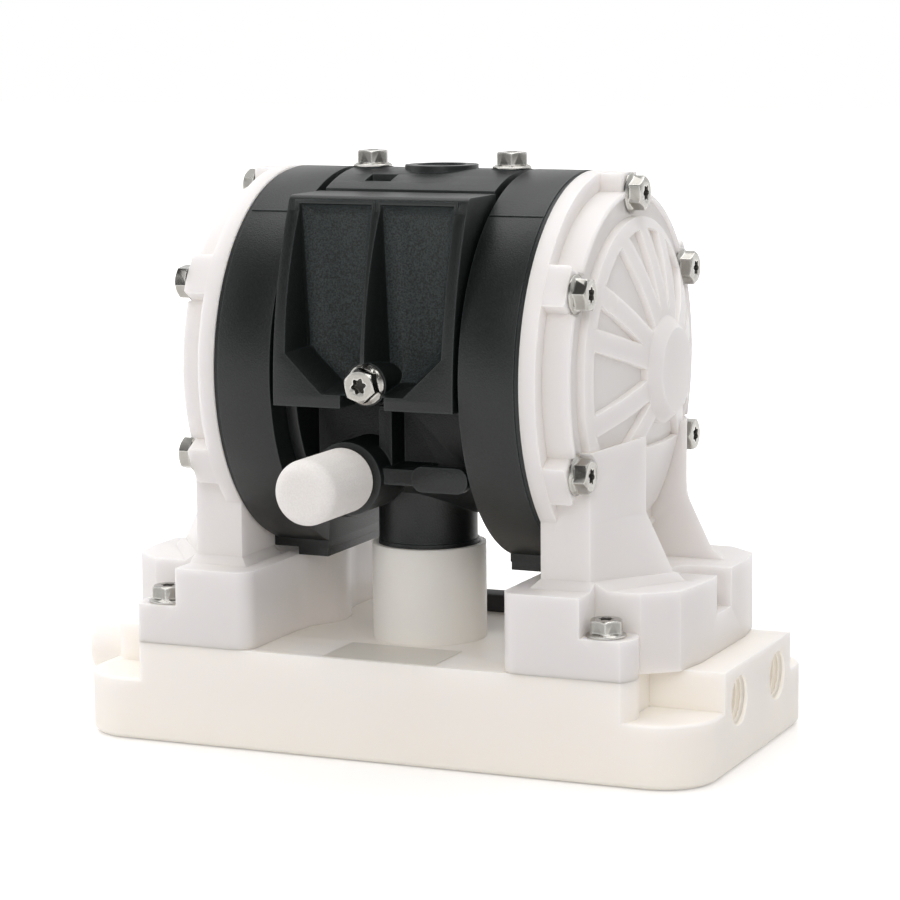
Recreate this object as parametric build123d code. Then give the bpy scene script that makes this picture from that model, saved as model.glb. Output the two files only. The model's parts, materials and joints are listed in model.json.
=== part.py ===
from build123d import *
import math
import os

# Air operated double diaphragm pump on a moulded manifold base. Sizes are in millimetres.
# X runs along the diaphragm shaft, -Y is the front with the silencer, +Z is up.
# The origin is the middle of the face that the base stands on.

# Clearances used everywhere
bolt_clear = 0.12            # radial, a screw in its hole
run_clear = 0.04             # radial, a sliding shaft, rod or spool in its bore
seat_clear = 0.05            # radial, a bush, seat ring or seal in its counterbore
part_gap = 0.3               # between neighbouring mouldings that do not touch

# Screws with a hexagon on a round flange
bolt_r = 2.4
bolt_flange_r = 5.25
bolt_flange_t = 0.9
bolt_hex = 7.94              # across flats
bolt_head_h = 4.5

# Base manifold
base_length = 179.3
base_depth = 95.95
base_corner_r = 14.85
slab_h = 16.8
deck_h = 27.1                # top of the raised block
deck_half_wide = 69.05       # half length of the full depth part of the block
spine_half = 27.45           # half depth of the narrow ends of the block
spine_left = 86.45           # how far the left narrow end reaches
base_edge_r = 1.75
base_wall = 2.85             # ribs and rim of the cored underside
core_depth = 6.2
core_columns = 8
core_rows = 4
duct_r = 4.05                # inlet and outlet galleries along X
duct_y = 15.95
duct_z = 17.6
port_r = 6.58                # pipe thread, 1/4 inch
port_depth = 12.4
stub_r = 7.7
stub_reach = 99.1
column_y = -10.6             # white socket that carries the centre housing
column_r = 15.4
column_bore_r = 13.9
column_top = 52.9

# Shaft, diaphragms and chambers
axis_z = 100.9
shaft_r = 4.4
half_stroke = 4.85
face_x = 43.05               # joint between air cover and fluid cover
ring_r = 51.7                # outside of the air covers and of the fluid cover flanges
ring_inner_x = 26.55
air_wall = 3.1               # inner disc of an air cover
inner_circle_r = 29.2        # screws that hold an air cover on the housing
inner_angles = [55.0, 125.0, 235.0, 305.0]
inner_screw_r = 2.0
inner_head_r = 3.2
inner_screw_length = 11.0
ring_step = 0.5              # the ring is a little smaller next to the joint
ring_step_x = 1.3
pad_half = 17.7              # flat pads and lugs under the air covers
pad_drop = 0.9
lug_x = 35.85
seal_w = 3.1
bush_wall = 1.8
bush_length = 11.0
gasket_bore_r = 24.7
chamber_r = 38.05
rim_r = 42.9                 # outside of the diaphragm
rim_t = 2.1
web_t = 2.5                  # thickness of the diaphragm between its plates
web_r = 23.9
roll_x = 1.4                 # how far the convolution bulges past the joint
roll_shift = 1.0             # its crown is this much outside the middle of its width
plate_gap = 0.1
air_plate_r = 21.25
air_plate_t = 3.2
fluid_plate_r = 17.7
fluid_plate_t = 4.4
plate_edge = 1.3             # chamfer of the air plate, rim of the fluid plate
web_x = 39.55                # inner face of the diaphragm web at mid stroke
stud_r = 2.65
stud_length = 9.7

# Fluid covers
flange_x = 47.45
wall_r = 46.9
wall_x = 54.8
shoulder_r = 0.7
wall_in_r = 45.2             # inside of the raised wall along the rim
valley_x = 53.9              # valley between that wall and the ribbed dome
dome_r = 39.8                # outside of the ribbed dome
dome_x = 56.1
dome_swell = 1.0             # how far the dome bulges over a plain cone
dish_r = 14.15
dish_x = 63.7
hub_r = 11.05
hub_x = 66.8
boss_w = 11.35               # width of the screw bosses on the rim
boss_round = 1.0
boss_x = 53.65
head_room = 0.6              # around the flange of a screw
boss_set = 0.2               # the bosses stand this much inside the rim of the flange
bolt_circle_r = 46.0
rim_bolts = 6
pocket_r = 36.7
pocket_depth = 1.9
pocket_low = 19.5            # no pockets further below the axis than this
skin = 2.5
rib_w = 5.75
rib_angles = [-45.0, -17.5, 17.5, 36.5, 68.5, 90.0, 111.5, 143.5, 162.5, 197.5, 225.0]

# Legs and feet of the fluid covers
leg_y = 37.15                # front face of the front leg
leg_inner_y = 15.95
leg_x_front = 56.55
leg_x_rear = 64.0
leg_flare = 8.6
leg_top = 83.2
leg_rise = 2.0
leg_knee = 65.5
leg_toe = 2.2                # flare where a leg meets its foot
groove_x = 52.55
foot_top = 47.95
foot_ledge = 37.6
foot_in = 35.95
foot_bulge = 30.1
foot_corner_r = 4.4
foot_taper = 1.8
foot_chamfer = 7.1
foot_nose = 0.9
foot_nose_y = 5.3
foot_neck_y = 12.4
corner_pocket = 12.4         # length of the ledge at a corner
foot_out = 80.0
foot_out_front = 70.0
corner_bolt_x = 62.85
corner_bolt_y = base_depth / 2 - 5.85
side_bolt_x = foot_out - 8.75
foot_boss_r = 8.25
pocket_wall_y = corner_bolt_y - 5.7
foot_bolt_length = 22.0

# Check valves between feet and base
valve_x = 51.35
valve_y = 21.25
ball_r = 3.97
seat_r = 7.1
seat_h = 4.4
seat_bore_r = 3.0
seat_lip = 0.4
ball_room_r = 5.6
ball_lift = 2.65
leg_bore_r = 3.7
spring_wire = 0.7
spring_turns = 3.5
spring_r = 3.0

# Centre housing and top
core_r = 40.7
core_half = 23.0
disc_r = 44.25
front_y = -23.0              # face that the valve cover seats on
recess_y = -30.1             # back of the open recess below the valve cover
recess_top = 92.9
recess_low = 58.4
spigot_r = 13.6
neck_r = 13.3
neck_x = -0.2
neck_low = 54.0
cap_half = 24.25
cap_half_y = 21.25
cap_seat = 141.6
inlet_r = 6.58
inlet_rim_r = 9.9
inlet_rim_h = 0.9
inlet_depth = 8.85
inlet_step = 1.8             # the air passage is this much smaller than the thread
slot_x = -7.5                # small pocket in front of the left screw
slot_long = 7.55
slot_y = -11.5
slot_wide = 5.3
slot_deep = 4.4
top_bolt_x = 20.35
top_bolt_hold = 3.0          # how deep a top screw goes into the housing
top_bolt_length = axis_z + ring_r - cap_seat + top_bolt_hold
exhaust_x = -7.6
exhaust_z = 74.5
exhaust_r = 9.65
exhaust_face = -45.6
exhaust_bore_r = 4.4
exhaust_depth = 12.4
rib_half = 1.85
rib_face = -38.05
bar_face = -43.4
bar_drop = 1.25
bar_tall = 4.2
tab_x = 18.15                # blank tab beside the exhaust
tab_long = 15.6
tab_tall = 6.7
tab_r = 3.0
tab_t = 3.0
tab_face = -44.8

# Valve cover and air valve
cover_half = 25.3
cover_top = 147.45
cover_low = 93.8
cover_front_top = -40.55
cover_front_mid = -50.7
cover_front_low = -52.2
cover_mid_z = 115.05
cover_wall = 2.65
cover_lip = 6.4
notch_half = 6.2             # gap in the lower edge around the screw boss
notch_rise = 3.4
brow_r = 2.2                 # rounded bar along the top of the front
scoop_floor = -38.05
scoop_in_low = 3.7           # inner and outer edges of a sunk panel, at its foot and its top
scoop_in_top = 2.0
scoop_out_low = 19.2
scoop_out_top = 21.0
scoop_draft = 12.0
scoop_rise = 8.4
scoop_run = 8.9
scoop_fillet = 1.4
scoop_top = 144.6
cover_bolt_z = 100.0
cover_bolt_seat = -49.55
cover_bolt_length = 37.0
cover_boss_r = 5.65
spool_y = -27.45
spool_z = 122.15
spool_r = 6.2
ring_w = 1.4
spool_travel = 5.3
spool_lands = 4
land_edge = 1.05             # from the end of a land to its ring groove
block_half = 21.25
block_low = 107.95
block_high = 136.3
block_front = -35.05
block_set = 3.5              # depth of its seat in the housing
slot_half = 1.35
slot_pitch = 8.85
gasket_t = 0.3
plug_t = 3.55
pilot_r = 1.75
pilot_z = 116.8
pilot_travel = 1.75

# Silencer
silencer_r = 8.5
silencer_start = -46.3
silencer_end = -72.55
silencer_nose_r = 3.55
silencer_tail_r = 2.2

# Low block behind the socket
rear_half = 13.3
rear_y = 23.0
rear_deep = 8.0
rear_h = 5.05

# How far a cutting tool runs past the face that it cuts
over = 1.0
reach = 12.0

os.makedirs("parts", exist_ok=True)
low = (Align.CENTER, Align.CENTER, Align.MIN)


def along_x(radius, x0, x1, y=0.0, z=axis_z):
    return Pos(x0, y, z) * Rot(0, 90, 0) * Cylinder(radius, x1 - x0, align=low)


def along_y(radius, y0, y1, x, z):
    return Pos(x, y0, z) * Rot(-90, 0, 0) * Cylinder(radius, y1 - y0, align=low)


def along_z(radius, z0, z1, x, y):
    return Pos(x, y, z0) * Cylinder(radius, z1 - z0, align=low)


def block(x0, x1, y0, y1, z0, z1):
    centre = Pos((x0 + x1) / 2, (y0 + y1) / 2, (z0 + z1) / 2)
    return centre * Box(x1 - x0, y1 - y0, z1 - z0)


def spun(edges):
    """Solid of revolution about the shaft axis from the edges of its outline."""
    return Pos(0, 0, axis_z) * revolve(make_face(edges), axis=Axis.X)


def turned(points):
    """Solid of revolution about the shaft axis from points given as x and radius."""
    return spun(Polyline(*points, close=True))


def plan(points, z0, z1):
    """Prism that stands on z0, from points given as x and y."""
    return Pos(0, 0, z0) * extrude(make_face(Polyline(*points, close=True)), amount=z1 - z0)


def other_side(shape):
    return mirror(shape, about=Plane.YZ)


def other_front(shape):
    return mirror(shape, about=Plane.XZ)


def save(shape, name):
    export_step(shape, f"parts/{name}.step")


def group(solids, name):
    save(Compound(children=list(solids)), name)


def screw(length):
    """Flanged hexagon screw: the seat is at z = 0, the head points up and the shank down."""
    head = Cylinder(bolt_flange_r, bolt_flange_t, align=low)
    hexagon = extrude(RegularPolygon(bolt_hex / 2, 6, major_radius=False), amount=bolt_head_h)
    shank = Pos(0, 0, -length) * Cylinder(bolt_r, length, align=low)
    return head + hexagon + shank


def rim_angle(index):
    return 90.0 + index * 360.0 / rim_bolts


def at_rim(index):
    angle = math.radians(rim_angle(index))
    return bolt_circle_r * math.cos(angle), axis_z + bolt_circle_r * math.sin(angle)


def rib_top(radius):
    """X of the rib tops of a fluid cover at a radius."""
    share = (dome_r - radius) / (dome_r - dish_r)
    return dome_x + share * (dish_x - dome_x) + 4 * dome_swell * share * (1 - share)


def dome_arc(outer, inner, drop=0.0):
    """Arc of the dome between two radii, sunk by a drop."""
    points = [(rib_top(r) - drop, r) for r in (outer, (outer + inner) / 2, inner)]
    return ThreePointArc(*points)


foot_spots = [
    (corner_bolt_x, -corner_bolt_y),
    (side_bolt_x, 0.0),
    (corner_bolt_x, corner_bolt_y),
]


def make_base():
    half_l = base_length / 2
    half_d = base_depth / 2
    slab = extrude(RectangleRounded(base_length, base_depth, base_corner_r), amount=slab_h)
    slab = fillet(slab.faces().sort_by(Axis.Z)[0].edges(), base_edge_r)
    slab = fillet(slab.faces().sort_by(Axis.Z)[-1].edges(), base_edge_r / 2)
    spine = block(-spine_left, half_l, -spine_half, spine_half, slab_h / 2, deck_h)
    wide = block(-deck_half_wide, deck_half_wide, -half_d, half_d, slab_h / 2, deck_h)
    upright = wide.edges().filter_by(Axis.Z)
    wide = fillet(upright, base_corner_r / 2)
    body = slab + spine + wide
    for side in (-1, 1):
        for x, y in foot_spots:
            boss = along_z(foot_boss_r, slab_h / 2, deck_h, side * x, y)
            body += boss & block(-half_l, half_l, -half_d, half_d, 0, deck_h)
        body += along_x(stub_r, -stub_reach, 0, side * duct_y, duct_z)
    rim = body.edges().filter_by(GeomType.CIRCLE)
    rim = [e for e in rim if abs(e.center().X + stub_reach) < 0.01]
    body = fillet(rim, stub_r / 4)
    body += along_z(column_r, deck_h / 2, column_top, 0, column_y)
    body -= along_z(column_bore_r, deck_h, column_top + over, 0, column_y)
    for side in (-1, 1):
        y = side * duct_y
        body -= along_x(duct_r, -spine_left, half_l + over, y, duct_z)
        body -= along_x(port_r, half_l - port_depth, half_l + over, y, duct_z)
        for end in (-1, 1):
            spot = (end * valve_x, side * valve_y)
            body -= along_z(ball_room_r, duct_z - duct_r, deck_h + over, *spot)
            for x, y2 in foot_spots:
                depth = foot_bolt_length - (foot_ledge - deck_h) + over
                body -= along_z(bolt_r + bolt_clear, deck_h - depth, deck_h + over, end * x, y2)
        body -= along_z(seat_r + seat_clear, deck_h - seat_h, deck_h + over, valve_x, valve_y)
        body -= along_z(seat_r + seat_clear, deck_h - seat_h, deck_h + over, -valve_x, valve_y)
    # Cored underside: a grid of square pockets with ribs between them
    inner_l = base_length - base_corner_r - 2 * base_wall
    inner_d = base_depth - base_corner_r - 2 * base_wall
    cell_l = (inner_l - (core_columns - 1) * base_wall) / core_columns
    cell_d = (inner_d - (core_rows - 1) * base_wall) / core_rows
    cell = Box(cell_l, cell_d, core_depth, align=low)
    grid = GridLocations(cell_l + base_wall, cell_d + base_wall, core_columns, core_rows)
    body -= [place * cell for place in grid]
    return body


def make_cover():
    """Right fluid cover: ribbed dish, screw bosses, two hollow legs and the foot."""
    rim = Polyline(
        (hub_x, 0), (face_x, 0), (face_x, ring_r), (flange_x, ring_r), (flange_x, wall_r),
        (wall_x, wall_r), (wall_x, wall_in_r), (valley_x, wall_in_r), (valley_x, dome_r), (dome_x, dome_r))
    hub = Polyline((dish_x, dish_r), (hub_x, hub_r), (hub_x, 0))
    body = spun([*rim.edges(), dome_arc(dome_r, dish_r), *hub.edges()])
    crest = body.edges().filter_by(GeomType.CIRCLE)
    crest = [e for e in crest if abs(e.center().X - wall_x) < 0.01]
    body = fillet(crest, shoulder_r)
    # Screw bosses reach out to the rim of the flange
    for index in range(rim_bolts):
        arm = block(flange_x - over, boss_x, -boss_w / 2, boss_w / 2, wall_r - reach, ring_r + over)
        arm = fillet(arm.edges().filter_by(Axis.Z).sort_by(Axis.X)[-2:], boss_round)
        arm = Pos(0, 0, axis_z) * Rot(90 - rim_angle(index), 0, 0) * arm
        body += arm & along_x(ring_r - boss_set, face_x, boss_x)
    # Triangular pockets between the ribs of the dish
    floor = dome_arc(pocket_r, dish_r, pocket_depth)
    lid = Polyline(floor @ 1, (dish_x + reach, dish_r), (dish_x + reach, pocket_r), floor @ 0)
    cutter = spun([floor, *lid.edges()])
    for angle in rib_angles:
        rib = block(wall_x - reach, hub_x + reach, 0, pocket_r + over, -rib_w / 2, rib_w / 2)
        cutter -= Pos(0, 0, axis_z) * Rot(angle, 0, 0) * rib
    cutter -= block(wall_x - reach, hub_x + 2 * reach, -ring_r, ring_r,
                    axis_z - ring_r, axis_z - pocket_low)
    body -= cutter
    # Legs: two columns with a groove between them, flaring out to the foot
    upper = [
        (face_x, -leg_y), (leg_x_front, -leg_y), (leg_x_rear, -leg_inner_y),
        (groove_x, -leg_inner_y), (groove_x, 0), (face_x, 0),
    ]
    lower = [
        (face_x, -leg_y), (leg_x_front, -leg_y), (leg_x_rear + leg_flare, -leg_inner_y),
        (groove_x, -leg_inner_y), (groove_x, 0), (face_x, 0),
    ]
    leg = plan(upper, leg_knee, leg_top + leg_rise)
    skirt_top = Pos(0, 0, leg_knee) * make_face(Polyline(*upper, close=True))
    skirt_low = Pos(0, 0, foot_top) * make_face(Polyline(*lower, close=True))
    leg += loft([skirt_low, skirt_top])
    # A leg flares a little where it meets its foot, clear of the pad under the air cover
    clear_y = -pad_half - part_gap
    wide_x = leg_x_rear + leg_flare
    hidden = [(groove_x, -leg_inner_y), (groove_x, clear_y)]
    toe_top = [(face_x, clear_y), (face_x, -leg_y), (leg_x_front, -leg_y), (wide_x, -leg_inner_y)]
    toe_low = [(face_x - leg_toe, clear_y), (face_x - leg_toe, -leg_y - leg_toe),
               (leg_x_front + leg_toe, -leg_y - leg_toe), (wide_x + leg_toe, -leg_inner_y)]
    toe_low = Pos(0, 0, foot_top) * make_face(Polyline(*toe_low, *hidden, close=True))
    toe_top = Pos(0, 0, foot_top + leg_toe) * make_face(Polyline(*toe_top, *hidden, close=True))
    # The top of a leg slopes up to its outer corner
    wedge = extrude(Plane.XZ * make_face(Polyline(
        (face_x - over, leg_top + 2 * leg_rise), (leg_x_rear + reach, leg_top + 2 * leg_rise),
        (leg_x_rear, leg_top + leg_rise), (leg_x_front, leg_top), (face_x - over, leg_top),
        close=True)), amount=base_depth, both=True)
    leg -= wedge
    # Foot: the outline below the ledge, then the pockets that take the screws
    half_d = base_depth / 2
    pocket_x = foot_out_front - corner_pocket
    outline = [
        (foot_in, -half_d), (pocket_x, -half_d), (pocket_x, -pocket_wall_y),
        (foot_out_front, -pocket_wall_y), (foot_out - foot_taper, -pocket_wall_y + foot_chamfer),
        (foot_out, -leg_inner_y - foot_taper), (foot_out, 0), (foot_bulge, 0),
        (foot_bulge + foot_nose, -foot_nose_y), (foot_in - foot_nose, -foot_neck_y),
        (foot_in, -foot_neck_y - foot_chamfer),
    ]
    foot = plan(outline, deck_h, foot_top)
    inner_edge = foot.edges().filter_by(Axis.Z)
    inner_edge = [e for e in inner_edge
                  if abs(e.center().X - foot_in) < 0.01 and abs(e.center().Y + half_d) < 0.01]
    foot = fillet(inner_edge, foot_corner_r)
    foot += along_z(foot_boss_r, deck_h, foot_ledge, corner_bolt_x, -corner_bolt_y)
    foot &= block(0, base_length, -half_d, 0, deck_h, foot_top)
    leg += foot
    leg += loft([toe_low, toe_top]) & plan(outline, foot_top, foot_top + leg_toe)
    leg += other_front(leg)
    side_room = bolt_flange_r + head_room
    leg -= block(side_bolt_x, foot_out + over, -side_room, side_room, foot_ledge, foot_top + over)
    leg -= along_z(side_room, foot_ledge, foot_top + over, side_bolt_x, 0)
    body += leg
    for index in range(rim_bolts):
        y, z = at_rim(index)
        body -= along_x(bolt_flange_r + head_room, boss_x, hub_x + leg_flare, y, z)
    # Inside: chamber, diaphragm seat, passages down the legs, screw holes
    drop = pocket_depth + skin
    roof = dome_arc(chamber_r, dish_r, drop)
    walls = Polyline(roof @ 1, (hub_x - drop, hub_r - skin), (hub_x - drop, 0), (face_x - over, 0),
                     (face_x - over, chamber_r), roof @ 0)
    body -= spun([roof, *walls.edges()])
    body -= along_x(rim_r + seat_clear, face_x - over, face_x + rim_t)
    for side in (-1, 1):
        body -= along_z(leg_bore_r, deck_h, leg_knee + leg_flare, valve_x, side * valve_y)
    # The inlet ball stops on a lip with two flutes that let the fluid past
    stop = deck_h + ball_above_seat() + ball_r + ball_lift + run_clear
    body -= along_z(ball_room_r, deck_h - over, stop, valve_x, valve_y)
    flute = leg_bore_r / 2
    body -= block(valve_x - ball_room_r, valve_x + ball_room_r, valve_y - flute, valve_y + flute,
                  stop - over, stop + ball_r)
    body -= along_z(ball_room_r, deck_h - over, deck_h + seat_h + over, valve_x, -valve_y)
    body -= along_z(seat_r + seat_clear, deck_h - over, deck_h + seat_h, valve_x, -valve_y)
    for x, y in foot_spots:
        body -= along_z(bolt_r + bolt_clear, deck_h - over, foot_ledge + over, x, y)
    for index in range(rim_bolts):
        y, z = at_rim(index)
        body -= along_x(bolt_r + bolt_clear, face_x - over, boss_x + over, y, z)
    return body


def make_ring():
    """Right air cover: a thick ring with an inner disc, a stepped edge, pads and a lug below."""
    body = turned([
        (ring_inner_x, 0), (ring_inner_x, ring_r), (face_x - ring_step_x, ring_r),
        (face_x - ring_step_x, ring_r - ring_step), (face_x, ring_r - ring_step), (face_x, 0),
    ])
    pad_low = axis_z - ring_r + pad_drop
    body -= block(ring_inner_x - over, face_x + over, -ring_r, ring_r, 0, pad_low)
    body += block(ring_inner_x, face_x, -pad_half, pad_half, pad_low, axis_z - core_r)
    body += block(ring_inner_x + part_gap, lug_x, -pad_half, pad_half, foot_top, axis_z - core_r)
    body -= along_x(chamber_r, ring_inner_x + air_wall, face_x + over)
    body -= along_x(shaft_r + seal_w + seat_clear, ring_inner_x - over, face_x)
    body -= along_x(pilot_r + part_gap, ring_inner_x - over, face_x, 0, pilot_z)
    for index in range(rim_bolts):
        y, z = at_rim(index)
        body -= along_x(bolt_r + bolt_clear, ring_inner_x + air_wall, face_x + over, y, z)
    for y, z in inner_screw_spots():
        body -= along_x(inner_screw_r + bolt_clear, ring_inner_x - over, face_x, y, z)
    return body


def inner_screw_spots():
    spots = []
    for angle in inner_angles:
        turn = math.radians(angle)
        spots.append((inner_circle_r * math.cos(turn), axis_z + inner_circle_r * math.sin(turn)))
    return spots


def make_housing():
    disc_in = ring_inner_x - gasket_t
    body = along_x(core_r, -core_half, core_half)
    for side in (-1, 1):
        ends = sorted((side * core_half, side * disc_in))
        body += along_x(disc_r, ends[0], ends[1])
    body += block(-core_half, core_half, -cap_half_y, cap_half_y, axis_z, cap_seat)
    body -= block(-ring_r, ring_r, -disc_r, disc_r, cap_seat, cap_seat + disc_r)
    # Seat of the valve cover and the open recess below it
    body -= block(-ring_r, ring_r, -ring_r, front_y, recess_top, axis_z + ring_r)
    body -= block(-core_half, core_half, -ring_r, recess_y, recess_low, recess_top)
    body += block(-rib_half, rib_half, rib_face, recess_y + over, exhaust_z, recess_top)
    body += along_y(exhaust_r, exhaust_face, recess_y + over, exhaust_x, exhaust_z)
    # A bar runs from the exhaust boss to a blank rounded tab
    bar_low = exhaust_z - bar_drop
    body += block(exhaust_x, tab_x - tab_long / 2 + over, bar_face, recess_y + over,
                  bar_low, bar_low + bar_tall)
    tab = extrude(RectangleRounded(tab_long, tab_tall, tab_r), amount=tab_t)
    body += Pos(tab_x, tab_face + tab_t, bar_low + bar_tall / 2) * Rot(90, 0, 0) * tab
    body += block(tab_x - tab_long / 2, tab_x, tab_face + tab_t / 2, recess_y + over,
                  bar_low, bar_low + bar_tall - over)
    # Spigot that stands in the socket of the base
    body += along_z(neck_r, neck_low - over, axis_z - core_r + reach, neck_x, column_y)
    body += along_z(spigot_r, deck_h + part_gap, neck_low, 0, column_y)
    # Bores
    body -= along_x(shaft_r + bush_wall, -disc_in - over, disc_in + over)
    body -= along_x(pilot_r + run_clear, -disc_in - over, disc_in + over, 0, pilot_z)
    body -= along_y(exhaust_bore_r, exhaust_face - over, exhaust_face + exhaust_depth,
                    exhaust_x, exhaust_z)
    room = block_half + part_gap
    body -= block(-room, room, front_y - over, front_y + block_set,
                  block_low - part_gap, block_high + part_gap)
    body -= along_y(bolt_r + bolt_clear, front_y - over, cover_bolt_seat + cover_bolt_length + over,
                    0, cover_bolt_z)
    body -= along_z(inlet_r - inlet_step, cap_seat - reach, cap_seat + over, 0, 0)
    for side in (-1, 1):
        depth = top_bolt_hold + over
        body -= along_z(bolt_r + bolt_clear, cap_seat - depth, cap_seat + over, side * top_bolt_x, 0)
        for y, z in inner_screw_spots():
            hole = inner_screw_length - air_wall + over
            ends = sorted((side * (disc_in - hole), side * (disc_in + over)))
            body -= along_x(inner_screw_r + bolt_clear, ends[0], ends[1], y, z)
    return body


def make_cap():
    """Saddle between the air covers, with the threaded air inlet."""
    top = axis_z + ring_r
    body = along_x(ring_r, -cap_half, cap_half)
    body &= block(-cap_half, cap_half, -cap_half_y, cap_half_y, cap_seat, top + over)
    body += along_z(inlet_rim_r, cap_seat, top + inlet_rim_h, 0, 0)
    body -= along_z(inlet_r, top + inlet_rim_h - inlet_depth, top + inlet_rim_h + over, 0, 0)
    body -= along_z(inlet_r - inlet_step, cap_seat - over, top, 0, 0)
    for side in (-1, 1):
        pad = along_z(bolt_flange_r + head_room / 2, cap_seat, top, side * top_bolt_x, 0)
        body += pad & block(-cap_half, cap_half, -cap_half_y, cap_half_y, cap_seat, top)
        body -= along_z(bolt_r + bolt_clear, cap_seat - over, top + over, side * top_bolt_x, 0)
    body -= block(slot_x - slot_long, slot_x, slot_y - slot_wide, slot_y, top - slot_deep, top + over)
    return body


def make_valve_cover():
    side_profile = Polyline(
        (cover_front_top, cover_top), (front_y, cover_top), (front_y, cover_low),
        (cover_front_low, cover_low))
    front = ThreePointArc(
        (cover_front_low, cover_low), (cover_front_mid, cover_mid_z), (cover_front_top, cover_top))
    face = Plane.YZ * make_face([*side_profile.edges(), front])
    body = extrude(face, amount=cover_half, both=True)
    brow = body.edges().filter_by(Axis.X).sort_by(Axis.Z)[-2:].sort_by(Axis.Y)[0]
    body = fillet(brow, brow_r)
    # Two sunk panels beside the middle rib, deeper towards the bottom
    panel_low = cover_low + cover_lip
    panel = [
        (scoop_in_top, scoop_top), (scoop_out_top, scoop_top), (scoop_out_low, panel_low + scoop_rise),
        (scoop_out_low - scoop_run, panel_low), (scoop_in_low, panel_low),
    ]
    face = Plane.XZ * make_face(Polyline(*panel, close=True))
    cutter = extrude(Pos(0, scoop_floor, 0) * face, amount=scoop_floor - cover_front_low + over,
                     taper=-scoop_draft)
    cutter = fillet(cutter.edges().filter_by(
        lambda e: abs(e.bounding_box().min.Y - scoop_floor) < 0.01
        and abs(e.bounding_box().max.Y - scoop_floor) < 0.01), scoop_fillet)
    boss = along_y(cover_boss_r, cover_bolt_seat, front_y, 0, cover_bolt_z)
    for panel_cut in (cutter, other_side(cutter)):
        body -= panel_cut
    # The lower edge is open around the screw boss
    body -= block(-notch_half, notch_half, cover_front_low - over, scoop_floor,
                  cover_low - over, cover_low + notch_rise)
    body += boss
    body -= along_y(bolt_flange_r + part_gap, cover_bolt_seat - reach, cover_bolt_seat, 0, cover_bolt_z)
    # Inside: room for the valve block, and a cored pocket on each side of the screw boss
    inner = cover_half - cover_wall
    back = scoop_floor + cover_wall
    body -= block(-inner, inner, back, front_y + over, block_low - cover_wall, cover_top - cover_wall)
    core_top = block_low - 2 * cover_wall
    pocket = block(cover_boss_r + cover_wall, inner, back, front_y + over, cover_low + cover_wall, core_top)
    body -= pocket + other_side(pocket)
    body -= along_y(bolt_r + bolt_clear, cover_bolt_seat - over, front_y + over, 0, cover_bolt_z)
    return body


def port_slots(y0, y1):
    """The three slots that join the valve block to the housing."""
    return [block(x - slot_half, x + slot_half, y0, y1, spool_z - 3 * slot_half, spool_z + 3 * slot_half)
            for x in (-slot_pitch, 0, slot_pitch)]


def make_valve_block():
    body = block(-block_half, block_half, block_front, front_y + block_set - gasket_t,
                 block_low, block_high)
    body -= along_x(spool_r + run_clear, -block_half - over, block_half + over, spool_y, spool_z)
    for slot in port_slots(spool_y, front_y + block_set):
        body -= slot
    return body


def make_spool():
    """Spool with four lands and ring grooves, at the left end of its travel."""
    start = -block_half + plug_t + plate_gap
    length = 2 * (block_half - plug_t - plate_gap) - spool_travel
    land = length / (2 * spool_lands - 1)
    groove = spool_r - ring_w
    points = [(start, 0), (start, spool_r)]
    rings = []
    for index in range(spool_lands):
        x0 = start + index * 2 * land
        groove0 = x0 + land_edge
        groove1 = x0 + land - land_edge
        points += [(groove0, spool_r), (groove0, groove), (groove1, groove),
                   (groove1, spool_r), (x0 + land, spool_r)]
        if index < spool_lands - 1:
            points += [(x0 + land, spool_r - 2 * ring_w), (x0 + 2 * land, spool_r - 2 * ring_w),
                       (x0 + 2 * land, spool_r)]
        ring = along_x(spool_r + run_clear / 2, groove0 + run_clear, groove1 - run_clear)
        ring -= along_x(groove + run_clear, groove0 - over, groove1 + over)
        rings.append(ring)
    points.append((start + length, 0))
    shift = Pos(0, spool_y, spool_z - axis_z)
    return shift * turned(points), [shift * ring for ring in rings]


def make_shaft():
    end = web_x - air_plate_t - plate_gap
    body = along_x(shaft_r, -end, end)
    return body + along_x(stud_r, -end - stud_length, end + stud_length)


def make_plates():
    """Air side and fluid side plates of the right diaphragm."""
    x0 = web_x - plate_gap - air_plate_t
    x1 = web_x - plate_gap
    chamfered = [(x0, 0), (x0, air_plate_r - 2 * plate_edge), (x0 + plate_edge, air_plate_r),
                 (x1, air_plate_r), (x1, 0)]
    air = turned(chamfered)
    air -= along_x(stud_r + seat_clear, x0 - over, x1 + over)
    x2 = web_x + web_t + plate_gap
    x3 = x2 + fluid_plate_t
    dome = [(x2, 0), (x2, fluid_plate_r), (x2 + plate_edge, fluid_plate_r), (x3, fluid_plate_r / 2),
            (x3 + plate_edge, fluid_plate_r / 3), (x3 + plate_edge, 0)]
    fluid = turned(dome)
    fluid -= along_x(stud_r + seat_clear, x2 - over, x0 + stud_length + part_gap)
    return air, fluid


def make_diaphragm():
    """Moulded sheet with a flat rim, a rolled convolution and a flat web."""
    bore = stud_r + part_gap
    crown_r = (web_r + chamber_r) / 2 + roll_shift
    inner = [
        Line((web_x, bore), (web_x, web_r)),
        ThreePointArc((web_x, web_r), (face_x + roll_x, crown_r), (face_x, chamber_r)),
        Line((face_x, chamber_r), (face_x, rim_r)),
        Line((face_x, rim_r), (face_x + rim_t, rim_r)),
        Line((face_x + rim_t, rim_r), (face_x + rim_t, chamber_r - part_gap)),
        ThreePointArc((face_x + rim_t, chamber_r - part_gap), (face_x + roll_x + rim_t, crown_r),
                      (web_x + web_t, web_r)),
        Line((web_x + web_t, web_r), (web_x + web_t, bore)),
        Line((web_x + web_t, bore), (web_x, bore)),
    ]
    return Pos(0, 0, axis_z) * revolve(make_face(inner), axis=Axis.X)


def seat_mouth():
    return ball_room_r - seat_lip


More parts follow.
